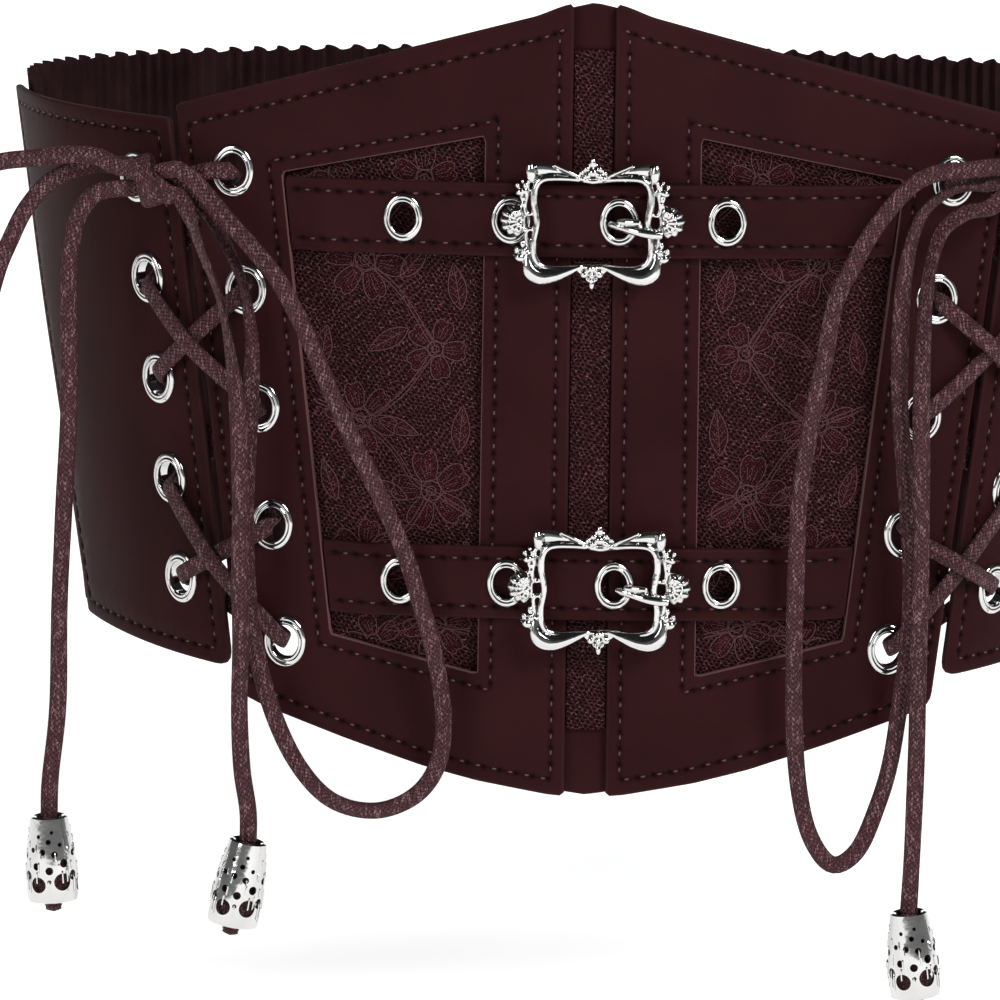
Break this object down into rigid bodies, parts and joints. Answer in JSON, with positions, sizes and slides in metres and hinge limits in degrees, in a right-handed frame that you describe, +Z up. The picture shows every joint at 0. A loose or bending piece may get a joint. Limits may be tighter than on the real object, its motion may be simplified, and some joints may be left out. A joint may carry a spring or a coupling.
{
  "type": "corset belt",
  "caption": "Wide waist belt with a pointed leather front, lace windows, buckled straps, laced side panels, hanging bows with beads and a shirred elastic back.",
  "frame": {"origin": "centre of the waist that the belt goes round, half way up the belt", "axes": "+Z up the wearer, -Y out of the front, +X towards the right of someone facing the front"},
  "size_m": [0.3434, 0.2012, 0.2497],
  "materials": {
    "leather": "satin oxblood smooth-grain leather",
    "lace": "matte wine net lace over cloth",
    "elastic": "shirred matte elastic cloth",
    "metal": "bright polished nickel",
    "cord": "waxed flat braid"
  },
  "bodies": {
    "root": {"placket_base": "leather", "placket_lace": "lace", "elastic_back": "elastic", "upper_strap": "leather", "upper_buckle": "metal", "upper_prong": "metal", "upper_strap_eyelet_1": "metal", "upper_strap_eyelet_2": "metal", "upper_strap_eyelet_3": "metal", "upper_strap_eyelet_4": "metal", "lower_strap": "leather", "lower_buckle": "metal", "lower_prong": "metal", "lower_strap_eyelet_1": "metal", "lower_strap_eyelet_2": "metal", "lower_strap_eyelet_3": "metal", "lower_strap_eyelet_4": "metal", "left_front_panel": "leather", "left_lace_panel": "lace", "left_side_panel": "leather", "left_front_eyelet_1": "metal", "left_front_eyelet_2": "metal", "left_front_eyelet_3": "metal", "left_front_eyelet_4": "metal", "left_front_eyelet_5": "metal", "left_side_eyelet_1": "metal", "left_side_eyelet_2": "metal", "left_side_eyelet_3": "metal", "left_side_eyelet_4": "metal", "left_side_eyelet_5": "metal", "left_lacing": "cord", "left_bow_knot": "cord", "left_outer_loop": "cord", "left_inner_loop": "cord", "left_outer_tail": "cord", "left_inner_tail": "cord", "left_outer_bead": "metal", "left_inner_bead": "metal", "right_front_panel": "leather", "right_lace_panel": "lace", "right_side_panel": "leather", "right_front_eyelet_1": "metal", "right_front_eyelet_2": "metal", "right_front_eyelet_3": "metal", "right_front_eyelet_4": "metal", "right_front_eyelet_5": "metal", "right_side_eyelet_1": "metal", "right_side_eyelet_2": "metal", "right_side_eyelet_3": "metal", "right_side_eyelet_4": "metal", "right_side_eyelet_5": "metal", "right_lacing": "cord", "right_bow_knot": "cord", "right_outer_loop": "cord", "right_inner_loop": "cord", "right_outer_tail": "cord", "right_inner_tail": "cord", "right_outer_bead": "metal", "right_inner_bead": "metal"}
  },
  "joints": []
}
